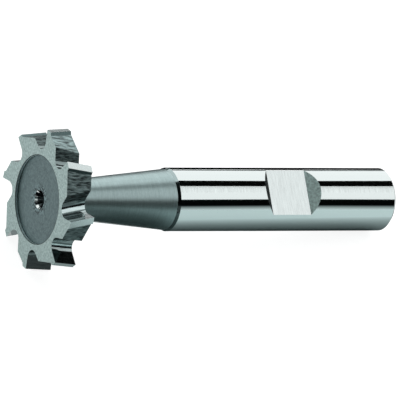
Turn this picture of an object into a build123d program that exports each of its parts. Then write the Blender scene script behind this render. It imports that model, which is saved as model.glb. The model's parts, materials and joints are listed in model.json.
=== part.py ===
from build123d import *
from build123d.topology import SkipClean
import os
from math import atan2, cos, degrees, radians, sin, sqrt, tan

# A woodruff keyseat cutter: a thin toothed disc on a tapered neck and a ground shank,
# all turned, milled and ground from one bar of high-speed steel.
# It lies as it comes to rest on a bench, on two neighbouring teeth of the disc and on
# the edge at the end of the shank, so its axis slopes down from the disc to the shank.
# Lengths are in millimetres and angles in degrees.

# The head is the disc that cuts the keyseat
cutting_diameter = 22.5
head_width = 4.0
side_clearance = 0.5
recess_depth = 0.5
recess_rim = 0.95

# The teeth: each gullet leans across the rim the opposite way to the ones beside it
tooth_count = 8
stagger_angle = 10.5
gullet_depth = 3.4
gullet_root_radius = 1.4
gullet_heel_angle = 55.0
land_width = 1.07
land_relief = 7.0
step_width = 0.56
step_relief = 68.0
back_relief = 32.5

# The neck and the shank
neck_length = 18.5
neck_root_diameter = 5.7
neck_root_fillet = 0.8
shoulder_length = 0.5
shoulder_height = 0.22
shank_diameter = 10.0
shank_length = 40.0
end_chamfer = 0.5

# The flat that the side-lock screw presses on
flat_length = 7.0
flat_depth = 1.6
flat_from_end = 19.3
flat_end_slope = 45.0
flat_turn = 11.1

# The centre holes that the blank turns on, one at each end
centre_pilot_diameter = 1.6
centre_mouth_diameter = 3.0
centre_hole_depth = 3.0
centre_cone_angle = 60.0

# Radii and places along the tool, measured from the front of the head
cutting_radius = cutting_diameter / 2
shank_radius = shank_diameter / 2
recess_radius = cutting_radius - gullet_depth - recess_rim
neck_root_radius = neck_root_diameter / 2
neck_end_radius = shank_radius - shoulder_height
neck_end = head_width + neck_length
shank_start = neck_end + shoulder_length
overall_length = shank_start + shank_length
shank_edge = overall_length - end_chamfer
flat_end = overall_length - flat_from_end + flat_length / 2
flat_start = flat_end - flat_length

# A cutting edge is straight and leans across the rim, so only its two ends lie on the
# full cutting radius, each shifted round the rim from the middle of the tooth
tooth_pitch = 360 / tooth_count
edge_shift = head_width / 2 * tan(radians(stagger_angle))
edge_radius = sqrt(cutting_radius**2 - edge_shift**2)
land_end_x = edge_radius - land_width * sin(radians(land_relief))
land_end_y = -land_width * cos(radians(land_relief))

# At rest two neighbouring teeth carry the back of the head: one on the end of its cutting
# edge, and the one that leads it on the end of its land. These two corners, seen from the
# front with x through the middle of the first tooth, are level with each other
rear_tip = Vector(edge_radius, -edge_shift)
rear_land_end = Vector(land_end_x, land_end_y + edge_shift).rotate(Axis.Z, tooth_pitch)
support = rear_land_end - rear_tip
first_tooth_turn = -degrees(atan2(support.Y, support.X))
rear_drop = abs(rear_tip.cross(support).Z) / support.length
lie = atan2(rear_drop - shank_radius, shank_edge - head_width)

# The origin is on the bench, under the middle of the tool from its foremost corner, which
# is a land's end on the front of the head, to the end of the shank
foremost = Vector(land_end_x, land_end_y - edge_shift)
foremost_drop = -foremost.rotate(Axis.Z, first_tooth_turn + tooth_pitch).Y
end_face_radius = shank_radius - end_chamfer
lying_length = overall_length * cos(lie) + (end_face_radius + foremost_drop) * sin(lie)
front_centre = Vector(
    foremost_drop * sin(lie) - lying_length / 2,
    0,
    rear_drop * cos(lie) + head_width * sin(lie),
)
tool_direction = Vector(cos(lie), 0, -sin(lie))
tool_axis = Axis(front_centre, tool_direction)

# Planes of the tool: the side view has x along the tool and y up from its axis, and the
# head plane faces the front, with its turns counted the way the teeth lead. The flat
# faces a little behind the cutting edge that is half a turn from the first tooth
flat_bearing = first_tooth_turn + 180 - flat_turn
side_view = Plane(origin=front_centre, x_dir=tool_direction, z_dir=(0, -1, 0))
head_middle = Plane(
    origin=front_centre + tool_direction * (head_width / 2),
    x_dir=(0, -1, 0),
    z_dir=-tool_direction,
)
front_hole_plane = head_middle.offset(head_width / 2 - recess_depth)
flat_view = Plane(side_view * Rotation(90 - flat_bearing, 0, 0))
rear_hole_plane = Plane(
    origin=front_centre + tool_direction * overall_length,
    x_dir=(0, -1, 0),
    z_dir=tool_direction,
)

# The blank has a land's width too much round the rim, which the teeth's backs take off,
# and its sides fall away from the cutting edges towards the recesses
blank_radius = cutting_radius + land_width
side_slope = tan(radians(side_clearance))
rim_proud = (blank_radius - cutting_radius) * side_slope
recess_edge = (cutting_radius - recess_radius) * side_slope
back_recess_floor = head_width - recess_depth

# Every tooth-cutting shape reaches clear of the blank
cutter_reach = cutting_radius + gullet_depth

# The shank is turned in three lengths whose walls aren't merged, so that a holder's bore finds
# full rounds ahead of the flat and behind it, and a part round of its own beside it
beside_flat = [
    (flat_start, 0),
    (flat_start, shank_radius),
    (flat_end, shank_radius),
    (flat_end, 0),
]
behind_flat = [
    (flat_end, 0),
    (flat_end, shank_radius),
    (shank_edge, shank_radius),
    (overall_length, end_face_radius),
    (overall_length, 0),
]

with SkipClean(), BuildPart() as cutter:
    # Turn the head, the neck and the shank as far as the flat
    with BuildSketch(side_view):
        with BuildLine():
            Polyline(
                (recess_depth, 0),
                (recess_depth, recess_radius),
                (recess_edge, recess_radius),
                (-rim_proud, blank_radius),
                (head_width + rim_proud, blank_radius),
                (head_width - recess_edge, recess_radius),
                (back_recess_floor, recess_radius),
                (back_recess_floor, neck_root_radius),
                (neck_end, neck_end_radius),
                (shank_start, shank_radius),
                (flat_start, shank_radius),
                (flat_start, 0),
                close=True,
            )
        make_face()
        neck_root = vertices().sort_by_distance((back_recess_floor, neck_root_radius))[0]
        fillet(neck_root, radius=neck_root_fillet)
    revolve(axis=tool_axis, clean=False)

    # Turn the rest of the shank
    for outline in (beside_flat, behind_flat):
        with BuildSketch(side_view):
            with BuildLine():
                Polyline(*outline, close=True)
            make_face()
        revolve(axis=tool_axis, clean=False)

    # Drill a centre in each end
    with Locations(front_hole_plane, rear_hole_plane):
        CounterSinkHole(
            radius=centre_pilot_diameter / 2,
            counter_sink_radius=centre_mouth_diameter / 2,
            depth=centre_hole_depth,
            counter_sink_angle=centre_cone_angle,
        )

    # Mill the clamping flat, with end walls that slope up out of it
    flat_height = shank_radius - flat_depth
    wall_run = shank_radius / tan(radians(flat_end_slope))
    wall_top = flat_height + shank_radius
    with BuildSketch(flat_view):
        with BuildLine():
            Polyline(
                (flat_start, flat_height),
                (flat_end, flat_height),
                (flat_end + wall_run, wall_top),
                (flat_start - wall_run, wall_top),
                close=True,
            )
        make_face()
    extrude(amount=shank_radius, both=True, mode=Mode.SUBTRACT)

    # Cut the teeth. In each tooth's plane x points out through the cutting edge and y points
    # the way the tooth leads, so its back trails along -y and falls inwards by its reliefs
    trailing = 270
    half_turn = 180
    middle_radius = edge_radius - gullet_depth / 2
    back_end = gullet_root_radius - middle_radius * sin(radians(tooth_pitch))
    for tooth in range(tooth_count):
        tooth_turn = first_tooth_turn + tooth * tooth_pitch
        tooth_plane = Plane(head_middle * Rotation(0, 0, tooth_turn))
        lean = -stagger_angle if tooth % 2 == 0 else stagger_angle
        cut_direction = Plane(tooth_plane * Rotation(lean, 0, 0)).z_dir

        # The gullet: a radial cutting face, a round root and the heel of the next tooth
        with BuildSketch(tooth_plane):
            with BuildLine():
                root_x = edge_radius - gullet_depth + gullet_root_radius
                face = Line((cutter_reach, 0), (root_x, 0))
                root = CenterArc(
                    (root_x, gullet_root_radius),
                    gullet_root_radius,
                    trailing,
                    gullet_heel_angle - half_turn,
                )
                heel = PolarLine(
                    root @ 1,
                    cutter_reach - (root @ 1).X,
                    gullet_heel_angle,
                    length_mode=LengthMode.HORIZONTAL,
                )
                Line(heel @ 1, face @ 0)
            make_face()
        extrude(amount=head_width, dir=cut_direction, both=True, mode=Mode.SUBTRACT)

        # The back of the tooth: land, steep step and long flat, each with its own relief
        with BuildSketch(tooth_plane):
            with BuildLine():
                lead_in = (edge_radius + land_width * tan(radians(land_relief)), land_width)
                land = Line(lead_in, (land_end_x, land_end_y))
                step = PolarLine(land @ 1, step_width, trailing - step_relief)
                flat = PolarLine(
                    step @ 1,
                    (step @ 1).Y - back_end,
                    trailing - back_relief,
                    length_mode=LengthMode.VERTICAL,
                )
                Polyline(flat @ 1, (cutter_reach, back_end), (cutter_reach, land_width), lead_in)
            make_face()
        extrude(amount=head_width, dir=cut_direction, both=True, mode=Mode.SUBTRACT)

cutter.part.label = "keyseat_cutter"
os.makedirs("parts", exist_ok=True)
export_step(cutter.part, "parts/keyseat_cutter.step")

print("Overall length", overall_length, "mm, lying", degrees(lie), "degrees off level")
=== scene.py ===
# %% [markdown]
# # A woodruff keyseat cutter
# The real tool is a thin toothed disc on a tapered neck and a ground shank, all cut from one bar
# of high-speed steel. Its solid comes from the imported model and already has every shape, so this
# lesson is about the steel: one bar, but a different finish wherever another machine touched it.
# Grinding and milling marks could be cut into the mesh, but they are a few hundredths of a mm deep
# at most, and a material draws something that fine better than triangles do.

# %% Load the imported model
import bpy
import json
from math import cos, pi, radians, sin, tan
from mathutils import Matrix, Vector

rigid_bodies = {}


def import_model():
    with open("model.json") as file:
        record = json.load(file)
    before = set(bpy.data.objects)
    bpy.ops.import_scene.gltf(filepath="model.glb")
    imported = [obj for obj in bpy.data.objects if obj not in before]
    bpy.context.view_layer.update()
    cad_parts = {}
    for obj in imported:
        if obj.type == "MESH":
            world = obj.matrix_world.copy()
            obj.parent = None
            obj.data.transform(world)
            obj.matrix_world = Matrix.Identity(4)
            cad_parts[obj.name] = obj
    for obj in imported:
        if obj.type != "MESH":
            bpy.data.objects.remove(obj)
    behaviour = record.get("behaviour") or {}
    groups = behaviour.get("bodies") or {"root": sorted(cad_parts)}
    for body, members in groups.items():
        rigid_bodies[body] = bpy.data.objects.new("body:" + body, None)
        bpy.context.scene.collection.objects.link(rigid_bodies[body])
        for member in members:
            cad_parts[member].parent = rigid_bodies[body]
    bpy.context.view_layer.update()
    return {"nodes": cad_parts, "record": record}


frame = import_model()
cutter = frame["nodes"]["keyseat_cutter"]
print("Faces of the cutter:", len(cutter.data.polygons))

# %% [markdown]
# ## The tool's own directions
# The cutter lies on a bench with its axis sloping down towards the shank. Everything that a lathe
# or a grinder leaves on it follows that axis, so the finishes need to know where it is. The slope
# could be measured from the mesh, but the record already holds it: the shank and its flat are
# mounts, each with a place and a direction.

# %% Find the axis and the flat from the mounts
MM = 0.001
SHANK_MOUNT_FROM_FRONT = 55.65 * MM
mounts = {mount["name"]: mount for mount in frame["record"]["mounts"]}
along = Vector(mounts["shank"]["axis"]).normalized()
front = Vector(mounts["shank"]["pos_m"]) - along * SHANK_MOUNT_FROM_FRONT
level = Vector((0, -1, 0))
upright = level.cross(along)
flat_normal = Vector(mounts["clamping_flat"]["axis"]).normalized()
print("Middle of the front face, in mm:", [round(v / MM, 3) for v in front])
print("Along the tool:", [round(v, 4) for v in along])

# %% [markdown]
# ## The camera
# The photograph was taken with a long lens from in front of the head, on its near side and above
# it, and turned until the tool ran level across the picture. A camera can be aimed by eye, but
# this view is easier to say in the tool's own frame: how far ahead of the front face the camera
# stands, how far to the side, how far round the axis that side is turned, and which way it looks.
# What is left is a nod and a roll of a few hundredths of a degree or less, which move the outline
# by less than a pixel.

# %% Place the camera
PHOTO_TURN = radians(40.483)
VIEW_TURN = radians(30.952)
CAMERA_AHEAD = 400.772 * MM
CAMERA_ASIDE = 717.195 * MM
CAMERA_NOD = radians(-0.0062)
CAMERA_ROLL = radians(-0.0451)
LENS = 480
SENSOR = 36
NEAREST = 10 * MM
FURTHEST = 20

towards = level * cos(PHOTO_TURN) + upright * sin(PHOTO_TURN)
picture_up = upright * cos(PHOTO_TURN) - level * sin(PHOTO_TURN)
picture_right = along * cos(VIEW_TURN) + towards * sin(VIEW_TURN)
backwards = towards * cos(VIEW_TURN) - along * sin(VIEW_TURN)
camera_data = bpy.data.cameras.new("camera")
camera_data.lens = LENS
camera_data.sensor_width = SENSOR
camera_data.clip_start = NEAREST
camera_data.clip_end = FURTHEST
camera = bpy.data.objects.new("camera", camera_data)
bpy.context.scene.collection.objects.link(camera)
place = front - along * CAMERA_AHEAD + towards * CAMERA_ASIDE
turn = Matrix((picture_right, picture_up, backwards)).transposed().to_4x4()
small_turns = Matrix.Rotation(CAMERA_NOD, 4, "X") @ Matrix.Rotation(CAMERA_ROLL, 4, "Z")
camera.matrix_world = Matrix.Translation(place) @ turn @ small_turns
bpy.context.scene.camera = camera
print("Camera at", [round(v, 3) for v in place])
print("Looking along", [round(-v, 3) for v in backwards])

# %% [markdown]
# ## Sums on sockets
# A finish is a sum over positions: how far along the tool, how far from its axis, which way the
# surface faces. Every sign of such a sum is a Math node, and wired up one by one the nodes are
# hard to read. So one small class wraps a socket and lets Python's own signs add the nodes.
# Colours go through a Mix node, because a Math node would turn them grey.


# %% A wire that can be added and multiplied
class Wire:
    """The output of a node, on which sums can be written."""

    def __init__(self, tree, socket=None):
        self.tree = tree
        self.socket = socket

    def node(self, kind, settings=None, values=None, out=0):
        """Adds a node: its settings first, then what its sockets hold or are linked to."""
        made = self.tree.nodes.new(kind)
        for name, setting in (settings or {}).items():
            setattr(made, name, setting)
        for name, value in (values or {}).items():
            if isinstance(value, Wire):
                self.tree.links.new(value.socket, made.inputs[name])
            else:
                made.inputs[name].default_value = value
        return Wire(self.tree, made.outputs[out])

    def feed(self, shader, name):
        """Links this wire to one of the shader's inputs."""
        self.tree.links.new(self.socket, shader.inputs[name])

    def sum(self, operation, *terms, clamp=False):
        """Adds one Math node on one to three terms."""
        settings = {"operation": operation, "use_clamp": clamp}
        return self.node("ShaderNodeMath", settings, dict(enumerate(terms)))

    def __add__(self, other):
        return self.sum("ADD", self, other)

    def __radd__(self, other):
        return self.sum("ADD", other, self)

    def __sub__(self, other):
        return self.sum("SUBTRACT", self, other)

    def __rsub__(self, other):
        return self.sum("SUBTRACT", other, self)

    def __mul__(self, other):
        return self.sum("MULTIPLY", self, other)

    def __rmul__(self, other):
        return self.sum("MULTIPLY", other, self)

    def __truediv__(self, other):
        return self.sum("DIVIDE", self, other)

    def dot(self, direction):
        """How far this vector reaches in a direction."""
        values = {0: self, 1: tuple(direction)}
        return self.node("ShaderNodeVectorMath", {"operation": "DOT_PRODUCT"}, values, out="Value")

    def above(self, edge, blur):
        """1 where this is more than edge and 0 where it is less, with a soft change between."""
        return self.sum("MULTIPLY_ADD", self, 1 / blur, 0.5 - edge / blur, clamp=True)

    def within(self, low, high, blur):
        """1 where this lies between low and high."""
        return self.above(low, blur) * (1 - self.above(high, blur))

    def mix(self, low, high):
        """A value between low and high, with this wire as the share of high."""
        return low + (high - low) * self

    def mix_colour(self, low, high):
        """A colour between low and high, with this wire as the share of high."""
        low, high = [(*c, 1) if isinstance(c, tuple) else c for c in (low, high)]
        values = {"Factor": self, 6: low, 7: high}
        return self.node("ShaderNodeMix", {"data_type": "RGBA"}, values, out=2)


print("Signs that a wire adds as nodes: + - * /")

# %% [markdown]
# ## A white bench
# A tool catalogue shows steel on plain white. Brighter lamps would whiten the floor, but they would
# burn out the steel as well. So the floor is a mid grey that glows only for the camera and for
# reflections, just enough to come out white there, and it still takes the tool's soft shadow.

# %% A sheet of board
UNLIT = (0, 0, 0)


def plain_sheet(name, corners, colour, glow=UNLIT):
    """A flat sheet of matt board, which isn't part of the tool."""
    mesh = bpy.data.meshes.new(name)
    mesh.from_pydata(corners, [], [range(len(corners))])
    sheet = bpy.data.objects.new(name, mesh)
    bpy.context.scene.collection.objects.link(sheet)
    board = bpy.data.materials.new(name + "_board")
    board.use_nodes = True
    mesh.materials.append(board)
    inputs = board.node_tree.nodes["Principled BSDF"].inputs
    inputs["Base Color"].default_value = (*colour, 1)
    inputs["Roughness"].default_value = 1
    inputs["Specular IOR Level"].default_value = 0
    inputs["Emission Color"].default_value = (*glow, 1)
    inputs["Emission Strength"].default_value = 1
    return sheet


def board_of(sheet):
    """A first wire in a sheet's board, and the board's shader."""
    tree = sheet.active_material.node_tree
    return Wire(tree), tree.nodes["Principled BSDF"]


# %% Lay the floor
FLOOR_HALF = 3.0
FLOOR_GREY = (0.5, 0.49, 0.49)
FLOOR_GLOW = 0.88
floor = plain_sheet(
    "floor",
    [(x * FLOOR_HALF, y * FLOOR_HALF, 0) for x, y in ((-1, -1), (1, -1), (1, 1), (-1, 1))],
    FLOOR_GREY,
)
floor_wire, floor_shader = board_of(floor)
seen = sum(floor_wire.node("ShaderNodeLightPath", out=ray) for ray in (
    "Is Camera Ray", "Is Glossy Ray", "Is Transmission Ray"))
(seen * FLOOR_GLOW).feed(floor_shader, "Emission Color")
bpy.context.scene.view_settings.view_transform = "Standard"
print("Floor:", 2 * FLOOR_HALF, "m square")

# %% [markdown]
# ## Soft boxes
# Polished steel has no colour of its own to speak of: it shows whatever stands round it. A lamp
# bulb would be a thin bright line on the shank. Two long soft boxes, side by side over the tool
# with a gap between them, give it the two wide bright bands that a ground shank shows in a
# catalogue. Their edges are given as bearings round the axis, in degrees from straight up towards
# the near side, because that is how they are read off the shank.

# %% Hang the soft boxes
LAMP_DISTANCE = 0.7


def bearing(angle):
    """The direction out from the axis at an angle round it."""
    return upright * cos(radians(angle)) + level * sin(radians(angle))


def soft_box(name, first_angle, last_angle, ends, radiance):
    """A soft box between two bearings, from one place along the tool to another."""
    out = bearing((first_angle + last_angle) / 2)
    lamp = bpy.data.lights.new(name, "AREA")
    lamp.shape = "RECTANGLE"
    lamp.size = ends[1] - ends[0]
    lamp.size_y = 2 * LAMP_DISTANCE * tan(radians(last_angle - first_angle) / 2)
    lamp.energy = radiance * pi * lamp.size * lamp.size_y
    box = bpy.data.objects.new(name, lamp)
    bpy.context.scene.collection.objects.link(box)
    centre = front + out * LAMP_DISTANCE + along * sum(ends) / 2
    turn = Matrix((along, out.cross(along), out)).transposed().to_4x4()
    box.matrix_world = Matrix.Translation(centre) @ turn
    box.visible_camera = False
    print(name, "is", round(lamp.size, 2), "by", round(lamp.size_y, 2), "m")


soft_box("far_soft_box", -80, -14, (-0.3, 1.4), 1.28)
soft_box("near_soft_box", 0.6, 50, (0.17, 1.4), 1.2)

# %% [markdown]
# ## The dim room
# Between the lamps and the bench there is a room, and steel shows that too. It could be a picture
# wrapped round the scene. One dim, cool grey is enough here, and it looks alike from every side.

# %% Dim the room
ROOM_GREY = (0.075, 0.1, 0.1)
room = bpy.data.worlds.new("room")
bpy.context.scene.world = room
room.use_nodes = True
room.node_tree.nodes["Background"].inputs["Color"].default_value = (*ROOM_GREY, 1)
print("The room is", ROOM_GREY)

# %% [markdown]
# ## Cards
# The dark lines on the steel are as much a part of its look as the bright ones. A photographer
# makes them with strips of black card between the lights. The cards here do the same, and only
# the steel's reflections see them: they throw no shadow and the camera looks through them. The
# fronts of two strips glow a dim grey, as painted light, because the head and the neck look at
# those and are paler there than the shank. The cool green of the greys is the tint that the steel
# has in the photograph.

# %% Stand black strips between the lights
BLACK = (0.003, 0.004, 0.004)
STRIP_DISTANCE = 0.6


def card(name, corners, colour=BLACK, glow=UNLIT):
    """A card that only reflections see."""
    sheet = plain_sheet(name, corners, colour, glow)
    sheet.visible_camera = False
    sheet.visible_diffuse = False
    sheet.visible_shadow = False
    return sheet


def strip(name, first_angle, last_angle, ends, distance=STRIP_DISTANCE, **look):
    """A long card between two bearings, from one place along the tool to another."""
    angles = (first_angle, last_angle, last_angle, first_angle)
    reaches = (ends[0], ends[0], ends[1], ends[1])
    corners = [front + bearing(a) * distance + along * r for a, r in zip(angles, reaches)]
    return card(name, corners, **look)


strip("overhead_strip", -22.4, 0.6, (0.3, 0.8))
# Painted light: the fronts of these two strips glow a dim grey for the head and the neck to show.
strip("overhead_front_strip", -15.5, 4, (0.05, 0.3), glow=(0.25, 0.28, 0.28))
strip("wide_overhead_strip", -26, 6, (0.5, 1.2), distance=0.58)
strip("near_strip", 51.8, 72.5, (-0.2, 0.8))
strip("low_strip", 72.5, 92, (0.14, 0.29))
strip("low_front_strip", 72.5, 92, (-0.2, 0.14), glow=(0.1, 0.115, 0.115))
strip("front_strip", -15, 71, (-0.3, -0.08), distance=0.66)
print("Black strips stand round the tool")

# %% [markdown]
# ## Light from ahead and from low down
# Surfaces that face the front of the tool, such as the back wall of the flat, look past the soft
# boxes. More lamps would light the whole tool, so two cards ahead of it glow as painted light,
# which only reflections see, and give them something to show. A third card, low on the near
# side, glows more towards its lower edge, also as painted light. It makes the soft rise from
# black to pale under the shank's lower dark line.

# %% Stand the glowing cards
FRONT_CARDS = {"colour": UNLIT, "glow": (0.8, 0.85, 0.85), "distance": 0.7}
# Painted light: the two front cards are black and glow pale.
strip("far_front_card", -80, -15, (-2.0, -0.36), **FRONT_CARDS)
strip("near_front_card", 5, 60, (-2.0, -0.38), **FRONT_CARDS)

GLOW_HALFWAY = 0.38
GLOW_FADE = 0.66
# Painted light: this card glows more towards its lower edge.
low_card = strip("low_glowing_card", 72.5, 92, (0.3, 0.55), colour=UNLIT)
low_wire, low_shader = board_of(low_card)
height = low_wire.node("ShaderNodeSeparateXYZ", values={
    0: low_wire.node("ShaderNodeTexCoord", out="Generated")}, out=2)
low_glow = (1 - height).above(GLOW_HALFWAY, GLOW_FADE)
low_glow.mix_colour((0.02, 0.03, 0.03), (0.68, 0.8, 0.8)).feed(low_shader, "Emission Color")
print("Pale cards stand at the front and on the near side")

# %% [markdown]
# ## The bench in the steel
# The undersides of the shank and the neck show the bench, and in the photograph it is grey near
# the tool and paler further out: the shank shows a bright bench and the neck a dark one. One sheet
# just over the floor, which only reflections see, holds both in painted shade and painted light:
# its colour is darker near the tool as a painted shadow of the tool, darker still beside the neck
# as painted shade, and further out beside the shank it glows. It is a sum over how far right and
# how far out a point lies. Black cards beyond its edges darken the bench behind the tool and ahead
# of it in the steel's reflections, and small cards that glow grey, as painted light, give each
# side of the teeth its own tone.

# %% Lay the cards on the bench
SHEET_HEIGHT = 0.04 * MM
CARD_HEIGHT = 0.05 * MM
HEAD_GLOW = (0.45, 0.5, 0.5)
TOOTH_GLOW = (0.3, 0.36, 0.36)


def bench_card(name, corners_mm, glow=UNLIT, height=CARD_HEIGHT):
    """A card flat on the bench, given by its corners in mm."""
    return card(name, [(x * MM, y * MM, height) for x, y in corners_mm], glow=glow)


bench_card("dark_bench", [(-18, 30), (2, 12), (500, 12), (500, 220), (47, 220)])
bench_card("front_bench", [(-150, -5), (-150, -400), (-31, -400), (-31, -5)])
# Painted light: these small cards glow grey under and beside the head, for the teeth to show.
bench_card("bench_under_head", [(-31, 0), (-25, 0), (-25, 8), (-31, 8)], HEAD_GLOW)
bench_card("bench_by_head", [(-31, -14), (-22, -14), (-22, -6), (-31, -6)], TOOTH_GLOW)
bench_card("bench_by_teeth", [(-25, -20), (-17, -20), (-17, -14), (-25, -14)], TOOTH_GLOW)
print("Cards on the bench, under and beside the head")

# %% Shade the sheet beside the shank and the neck
BORDER_LEFT = 9
BORDER_LEAN = 0.32
BORDER_BLUR = 3
BORDER_SPREAD = 0.06
SHANK_SHADE_REACH = 9.4
SHANK_FADE = 12
NECK_SHADE_REACH = 25
NECK_FADE = 40
bench_shade_and_glow = bench_card(
    "bench_shade_and_glow", [(-31, 0), (-31, -500), (600, -500), (600, 0)], height=SHEET_HEIGHT)
bench_wire, bench_shader = board_of(bench_shade_and_glow)
bench_point = bench_wire.node("ShaderNodeTexCoord", out="Object")
right_mm = bench_point.dot((1 / MM, 0, 0))
out_mm = bench_point.dot((0, -1 / MM, 0))
past_border = right_mm + BORDER_LEFT - out_mm * BORDER_LEAN
by_shank = (past_border / (out_mm * BORDER_SPREAD + BORDER_BLUR)).above(0, 1)
# Painted shadow of the tool: the shank's side is dark grey near it and pale further out.
shank_fade = out_mm.above(SHANK_SHADE_REACH, SHANK_FADE)
shank_side = shank_fade.mix_colour((0.19, 0.24, 0.24), (0.8, 0.9, 0.9))
# Painted shade: the neck's side stays darker, and pales only a little further out.
neck_fade = out_mm.above(NECK_SHADE_REACH, NECK_FADE)
neck_side = neck_fade.mix_colour((0.15, 0.19, 0.19), (0.27, 0.33, 0.33))
by_shank.mix_colour(neck_side, shank_side).feed(bench_shader, "Base Color")
# Painted light: further out beside the shank the sheet glows.
shank_glow = (shank_fade * by_shank).mix_colour(UNLIT, (0.3, 0.38, 0.38))
shank_glow.feed(bench_shader, "Emission Color")
print("Sheets round the tool:", sum(o.type == "MESH" for o in bpy.context.scene.objects) - 1)

# %% [markdown]
# ## Measure the steel
# The shank is ground to a mirror, the neck is turned, the ring round the recess is ground flat,
# and the gullets and the backs of the teeth are milled. The tool could be cut into pieces with a
# material each, but it is one bar, so it stays one mesh with one material, in zones. A zone is
# found by measuring: how far along the tool a point lies, how far from its axis, and which way
# the surface faces. Facing is measured as a cosine: 1 is straight along a direction, 0.7 is 45
# degrees off it, 0 is square to it and -1 is straight against it.

# %% Measure every point of the surface
steel = cutter.data.materials[0]
steel.use_nodes = True
shader = steel.node_tree.nodes["Principled BSDF"]
wire = Wire(steel.node_tree)
point = wire.node("ShaderNodeTexCoord", out="Object")
facing = wire.node("ShaderNodeTexCoord", out="Normal")
length_mm = point.dot(along / MM) - front.dot(along) / MM
side_mm = point.dot(level / MM) - front.dot(level) / MM
rise_mm = point.dot(upright / MM) - front.dot(upright) / MM
radius_mm = wire.sum("SQRT", side_mm * side_mm + rise_mm * rise_mm)
facing_along = facing.dot(along)
facing_out = (facing.dot(level) * side_mm + facing.dot(upright) * rise_mm) / radius_mm
facing_round = (facing.dot(level) * rise_mm - facing.dot(upright) * side_mm) / radius_mm
facing_end = wire.sum("ABSOLUTE", facing_along)
facing_with_flat = facing.dot(flat_normal)
print("Nodes for measuring:", len(steel.node_tree.nodes))

# %% [markdown]
# ## Zones of the shank and the neck
# A mask is 1 on its zone and 0 elsewhere. Masks multiply where both must hold, and 1 minus a mask
# is everywhere else. Lengths are in mm from the front of the tool, and most edges are blurred by
# a few hundredths of a mm, like the edge between two real finishes. The small faces have zones of
# their own: the step up to the shank, the two sloping walls of the flat, the chamfer at the end
# and, in each centre hole, its bright seat and its dark pilot. They could be picked by face number
# instead, but numbers change whenever the solid is made again, and measures don't.

# %% Find the zones of the neck and the shank
NECK_START = 3.45
NECK_END = 22.52
SHANK_START = 22.98
CHAMFER_START = 62.4
NECK_REACH = 6.0
EDGE_BLUR = 0.04
WIDE_BLUR = 0.1
FACING_BLUR = 0.1
on_shank = length_mm.above(SHANK_START, EDGE_BLUR)
on_neck = length_mm.within(NECK_START, SHANK_START, EDGE_BLUR) * (
    1 - radius_mm.above(NECK_REACH, WIDE_BLUR))
on_shoulder = length_mm.within(NECK_END, SHANK_START, EDGE_BLUR)
on_end_face = on_shank * facing_along.above(0.9, FACING_BLUR)
on_end_chamfer = on_shank * facing_along.within(0.5, 0.9, FACING_BLUR) * (
    length_mm.above(CHAMFER_START, WIDE_BLUR))
print("Nodes with the zones of the neck and the shank:", len(steel.node_tree.nodes))

# %% Find the zones of the flat and the centre holes
MOUTH_RADIUS = 1.52
SEAT_RADIUS = 1.27
PILOT_RADIUS = 0.86
HOLE_BLUR = 0.03
STRAIGHT_ON = 0.97
STRAIGHT_BLUR = 0.02
on_flat = on_shank * facing_with_flat.above(0.995, 0.004)
on_flat_wall = on_shank * facing_with_flat.within(0.69, 0.72, 0.01)
on_rear_wall = on_flat_wall * (1 - facing_along.above(-0.6, FACING_BLUR))
on_front_wall = on_flat_wall * facing_along.above(0.6, FACING_BLUR)
in_centre_hole = (1 - radius_mm.above(MOUTH_RADIUS, HOLE_BLUR)) * (
    1 - facing_end.above(STRAIGHT_ON, STRAIGHT_BLUR))
on_centre_seat = in_centre_hole * radius_mm.above(SEAT_RADIUS, HOLE_BLUR)
in_pilot = in_centre_hole * (1 - radius_mm.above(PILOT_RADIUS, EDGE_BLUR))
print("Nodes with the flat and the centre holes:", len(steel.node_tree.nodes))

# %% [markdown]
# ## Zones of the head's sides
# The head's two sides have a ground ring round a turned recess. The recess meets its wall and the
# ring in thin dark lines, so the wall's two edges are zones too. So is a patch round the centre
# hole, which has small dark specks. An Ambient Occlusion node could find the dark corner by
# itself, but here the corner's radius is known, so a measure does it without casting more rays.

# %% Find the zones of the head's sides
HEAD_END = 4.08
FINE_BLUR = 0.02
RECESS_RADIUS = 6.9
RECESS_OVERLAP = 0.03
SPECK_RADIUS = 2.4
SPECK_FADE = 1.0
WALL_RADII = (6.8, 6.98)
WALL_EDGE_RADII = (6.86, 6.98)
CORNER_RADII = (6.84, 6.95)
CORNER_START = 0.44
on_head = 1 - length_mm.above(HEAD_END, FINE_BLUR)
on_side = on_head * facing_end.above(0.6, FACING_BLUR)
on_ring = on_side * radius_mm.above(RECESS_RADIUS, EDGE_BLUR)
on_recess = on_head * (1 - radius_mm.above(RECESS_RADIUS + RECESS_OVERLAP, EDGE_BLUR)) * (
    1 - on_neck)
round_centre_hole = on_recess * (1 - radius_mm.above(SPECK_RADIUS, SPECK_FADE)) * (
    facing_end.above(STRAIGHT_ON, STRAIGHT_BLUR))
on_recess_wall = on_head * (1 - facing_out.above(-0.9, 0.05)) * (
    radius_mm.within(*WALL_RADII, EDGE_BLUR))
on_recess_edge = on_side * radius_mm.within(*WALL_EDGE_RADII, EDGE_BLUR)
in_recess_corner = on_head * length_mm.above(CORNER_START, EDGE_BLUR) * (
    radius_mm.within(*CORNER_RADII, EDGE_BLUR))
print("Nodes with the zones of the head's sides:", len(steel.node_tree.nodes))

# %% [markdown]
# ## Zones of the teeth
# The head's rim is all teeth: each has a cutting face, a narrow polished land behind the edge, a
# steep step, a long milled back, a heel and a round root. They are told apart by how far out they
# lie and how they lean, which holds for all eight teeth at once.

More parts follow.
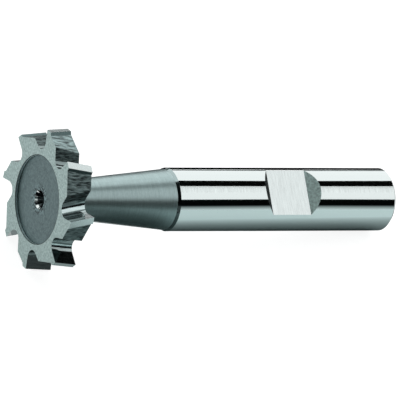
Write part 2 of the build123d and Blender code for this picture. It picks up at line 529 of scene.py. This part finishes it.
# %% Find the zones of the teeth
RIM_RADIUS = 7.2
ROOT_RADIUS = 9.0
HEEL_RADII = (8.3, 10.4)
BACK_RADIUS = 9.3
STEP_RADIUS = 10.6
LAND_RADIUS = 11.08
HEEL_BLUR = 0.05
LEAN_BLUR = 0.06
on_rim = on_head * (1 - facing_end.above(0.6, FACING_BLUR)) * (
    radius_mm.above(RIM_RADIUS, WIDE_BLUR))
on_face = on_rim * (1 - facing_round.above(-0.8, FACING_BLUR))
on_land = on_rim * radius_mm.above(LAND_RADIUS, FINE_BLUR) * facing_out.above(0.8, FACING_BLUR)
on_step = on_rim * radius_mm.above(STEP_RADIUS, EDGE_BLUR) * (
    facing_out.within(0.1, 0.8, FACING_BLUR))
on_back = on_rim * radius_mm.within(BACK_RADIUS, LAND_RADIUS, FINE_BLUR) * (
    facing_out.above(0.75, LEAN_BLUR))
on_heel = on_rim * radius_mm.within(*HEEL_RADII, HEEL_BLUR) * (
    facing_out.within(0.3, 0.75, LEAN_BLUR)) * facing_round.above(0.1, FACING_BLUR)
on_root_start = on_rim * facing_round.within(0.0, 0.74, LEAN_BLUR) * (
    1 - radius_mm.above(ROOT_RADIUS, WIDE_BLUR))
print("Nodes with the zones of the teeth:", len(steel.node_tree.nodes))

# %% [markdown]
# ## Marks that the machines leave
# A noise texture becomes tool marks when it is stretched along the way the tool moved. On the neck
# and the ends that is round the axis, and on a tooth it is across the rim. The noise is read at
# measured lengths instead of plain coordinates: each is multiplied by its own fineness, and the
# direction with the small number is the one that the marks run along. The way round the axis is
# measured as an arc 10 mm out, where the backs of the teeth are.

# %% Draw the marks
ARC_RADIUS = 10


def marks(x, y, z, detail=2.0):
    """Noise from 0 to 1 on three measured lengths in mm, each times its own fineness."""
    place = wire.node("ShaderNodeCombineXYZ", values={0: x, 1: y, 2: z})
    values = {"Vector": place, "Scale": 1.0, "Detail": detail, "Roughness": 0.6}
    return wire.node("ShaderNodeTexNoise", {"noise_dimensions": "3D"}, values)


arc_mm = wire.sum("ARCTAN2", side_mm, rise_mm) * ARC_RADIUS
turned = marks(length_mm * 7, arc_mm * 0.12, radius_mm * 0.5)
faced = marks(radius_mm * 5, arc_mm * 0.8, length_mm)
mottled = marks(side_mm * 2.8, rise_mm * 2.8, length_mm * 2.8, detail=3.0)
satin = turned * 0.6 + mottled * 0.4
brushed = marks(length_mm * 6, side_mm * 0.4, rise_mm * 0.4)
print("Nodes with the turned and ground marks:", len(steel.node_tree.nodes))

# %% [markdown]
# ## Specks and milled marks
# Soft noise looks like cloth, and a milled tooth is harder than that: dark furrows between pale
# ridges. A colour ramp could sharpen the noise. One Math node that multiplies, adds and clamps
# does the same, and the same trick makes the specks round the centre hole.

# %% Draw the specks and the milled marks
grainy = marks(side_mm * 3.2, rise_mm * 3.2, length_mm * 3.2, detail=1.0)
speckled = wire.sum("MULTIPLY_ADD", grainy, 5.0, -1.9, clamp=True)
streaked = marks(arc_mm * 3.5, radius_mm * 3.5, length_mm * 0.12, detail=1.0)
rough_milled = marks(arc_mm * 3.6, radius_mm * 3.6, length_mm * 0.75, detail=3.0)
milled = wire.sum("MULTIPLY_ADD", rough_milled, 3.6, -1.3, clamp=True)
print("Nodes with all the marks:", len(steel.node_tree.nodes))

# %% [markdown]
# ## Finishes
# Each finish has a colour, a roughness, a pattern that makes it lighter and darker, how strongly
# it does so, and a depth of its marks in mm. They could be separate materials on separate faces,
# but then a finish would end in a hard line. So they are laid over one another like coats, from
# the widest zone to the smallest, starting from a bar that is ground to a mirror all over. Steel
# from a catalogue is clean, so there is no rust or grease on it.

# %% Start from a mirror-ground bar
GROUND_STEEL = (0.6, 0.64, 0.635)
coats = {"colour": GROUND_STEEL, "roughness": 0.05, "height": turned * 0.0001}


def lay(zone, colour, roughness, pattern=None, contrast=0.0, depth=0.0):
    """Lays a finish over what is there already."""
    height = 0.0
    if pattern:
        amount = 1 + (pattern - 0.5) * (2 * contrast)
        values = {0: colour, "Scale": amount}
        colour = wire.node("ShaderNodeVectorMath", {"operation": "SCALE"}, values)
        height = pattern * depth
    coats["colour"] = zone.mix_colour(coats["colour"], colour)
    coats["roughness"] = zone.mix(coats["roughness"], roughness)
    coats["height"] = zone.mix(coats["height"], height)


print("The bar is ground all over, with a roughness of", coats["roughness"])

# %% Finish the neck, the flat and the shank's end
lay(on_neck, (0.34, 0.43, 0.43), 0.34, satin, 0.4, 0.003)
lay(on_shoulder, (0.3, 0.37, 0.37), 0.12, turned, 0.3, 0.002)
lay(on_flat, GROUND_STEEL, 0.22, brushed, 0.2, 0.001)
lay(on_rear_wall, (0.4, 0.5, 0.48), 0.5, mottled, 0.9, 0.006)
# Painted shade: the front wall keeps its mottled marks, but its colour is nearly black.
lay(on_front_wall, (0.012, 0.018, 0.018), 0.6, mottled, 0.5, 0.002)
lay(on_end_face, (0.5, 0.56, 0.555), 0.28, faced, 0.15, 0.003)
lay(on_end_chamfer, (0.2, 0.24, 0.24), 0.2, turned, 0.3, 0.002)
print("Finishes laid behind the head")

# %% Finish the ring and the recess
SHADE = (0.03, 0.04, 0.04)
WALL_SHADE_WIDTH = 0.11
lay(on_ring, (0.265, 0.35, 0.34), 0.34, mottled, 0.8, 0.004)
lay(on_recess, (0.115, 0.165, 0.17), 0.5, faced * 0.5 + mottled * 0.5, 0.9, 0.004)
lay(round_centre_hole, (0.085, 0.125, 0.13), 0.45, speckled, 0.8, 0.01)
# Painted light: the recess wall keeps its faced marks, but its colour is paler than the bar's.
lay(on_recess_wall, (0.8, 0.95, 0.95), 0.5, faced, 0.2, 0.003)
lay(on_recess_wall * (1 - length_mm.above(WALL_SHADE_WIDTH, EDGE_BLUR)), SHADE, 0.6)
lay(on_recess_edge, SHADE, 0.5)
lay(in_recess_corner, (0.05, 0.07, 0.07), 0.6)
print("Finishes laid on the sides of the head")

# %% Finish the teeth and the centre holes
lay(on_rim, (0.45, 0.53, 0.53), 0.12, streaked, 0.3, 0.006)
lay(on_face, (0.26, 0.3, 0.3), 0.1, streaked, 0.5, 0.004)
lay(on_root_start, (0.2, 0.245, 0.245), 0.15, streaked, 0.3, 0.006)
lay(on_back, (0.19, 0.25, 0.25), 0.3, milled, 0.7, 0.02)
# Painted shade: the heel keeps its milled marks, but it is darker than the back, for the gullet.
lay(on_heel, (0.092, 0.12, 0.12), 0.45, milled, 0.8, 0.03)
lay(on_step, (0.12, 0.17, 0.17), 0.45, mottled, 0.3, 0.004)
lay(on_land, (0.52, 0.57, 0.565), 0.13, mottled, 0.1, 0.001)
# Painted shade down each centre hole: its cone and pilot are far darker than steel.
lay(in_centre_hole, (0.05, 0.06, 0.06), 0.13)
lay(on_centre_seat, GROUND_STEEL, 0.1)
lay(in_pilot, SHADE, 0.3)
print("Finishes laid on the teeth and in the centre holes")

# %% [markdown]
# ## Join it up
# The height could push the mesh itself up and down, but the marks are too fine for that, so it
# becomes a bump, in mm like everything else. The colour and the roughness go straight to the
# shader. Bare steel is fully metallic everywhere, so that number is set on the shader's own socket.

# %% Connect the steel
bump = wire.node("ShaderNodeBump", values={
    "Height": coats["height"], "Distance": MM, "Strength": 1.0})
coats["colour"].feed(shader, "Base Color")
coats["roughness"].feed(shader, "Roughness")
bump.feed(shader, "Normal")
shader.inputs["Metallic"].default_value = 1.0
print("Nodes in the steel:", len(steel.node_tree.nodes))

# %% [markdown]
# ## Finish
# The finishes are all in the material, so the dressed tool is exactly as large as its solid.

# %% Finish
print("The steel is finished")
